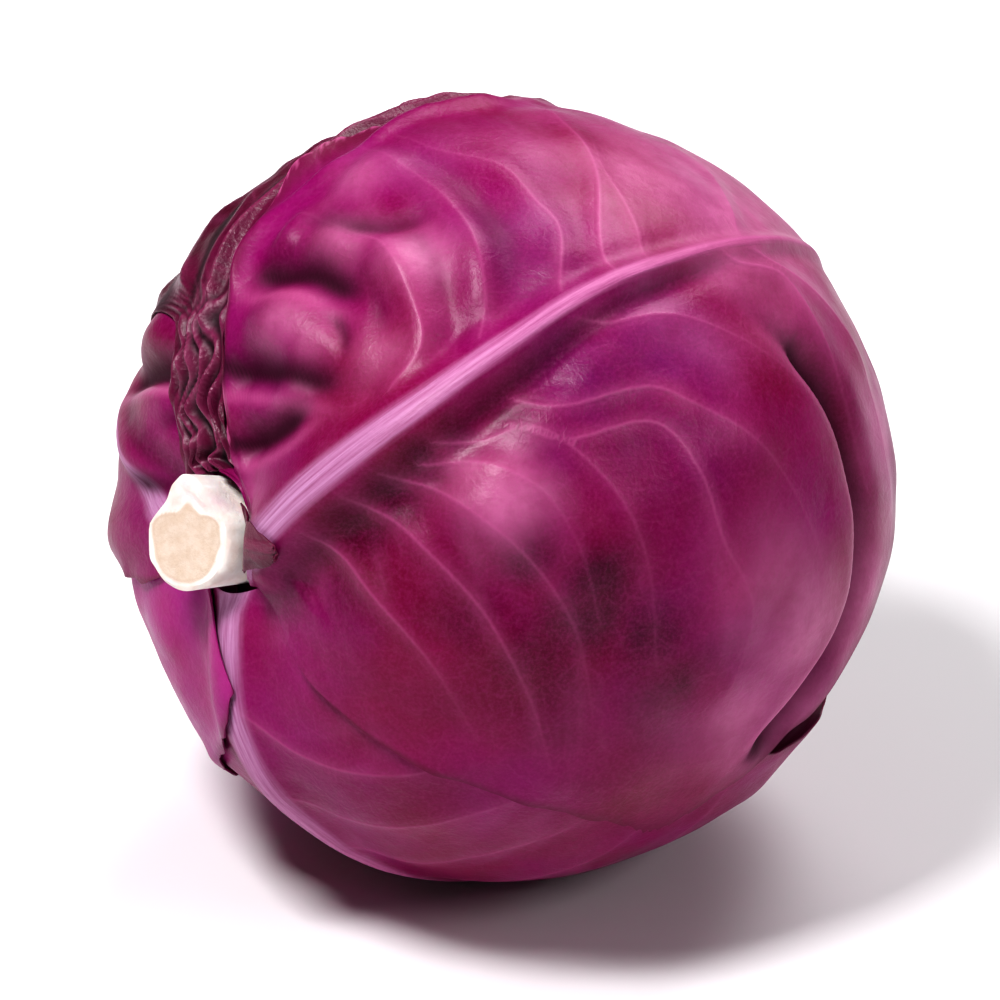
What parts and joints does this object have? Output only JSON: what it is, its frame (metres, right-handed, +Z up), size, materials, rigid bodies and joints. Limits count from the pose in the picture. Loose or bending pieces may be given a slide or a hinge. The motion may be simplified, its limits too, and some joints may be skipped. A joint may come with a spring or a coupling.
{
  "type": "red cabbage head",
  "caption": "Whole red cabbage head lying on its side, with a cut stem and pith core, wrapped in overlapping veined leaves.",
  "frame": {"origin": "on the floor under the middle of the head's outline", "axes": "+Z up; the cut stem points towards -X and -Y, lifted a little; the front leaf's thick midrib runs over the -Y side"},
  "size_m": [0.1619, 0.1567, 0.1584],
  "materials": {
    "pith": "matte, cream-white rind round a tan, fibrous cut face",
    "inner_leaf": "smooth, waxy",
    "wrapper_leaf": "waxy, semi-gloss, with paler veins",
    "lilac_leaf": "waxy, semi-gloss, with a lilac bloom",
    "old_leaf": "dry, wrinkled, semi-gloss",
    "front_leaf": "waxy, semi-gloss, with a thick pale midrib, paler veins and a bluish bloom"
  },
  "bodies": {
    "root": {"stem": "pith", "inner_head": "inner_leaf", "crown_leaf": "wrapper_leaf", "back_leaf": "wrapper_leaf", "under_leaf": "wrapper_leaf", "lower_left_leaf": "lilac_leaf", "left_leaf": "wrapper_leaf", "dark_outer_leaf": "old_leaf", "front_leaf": "front_leaf", "stem_scrap": "old_leaf"}
  },
  "joints": []
}
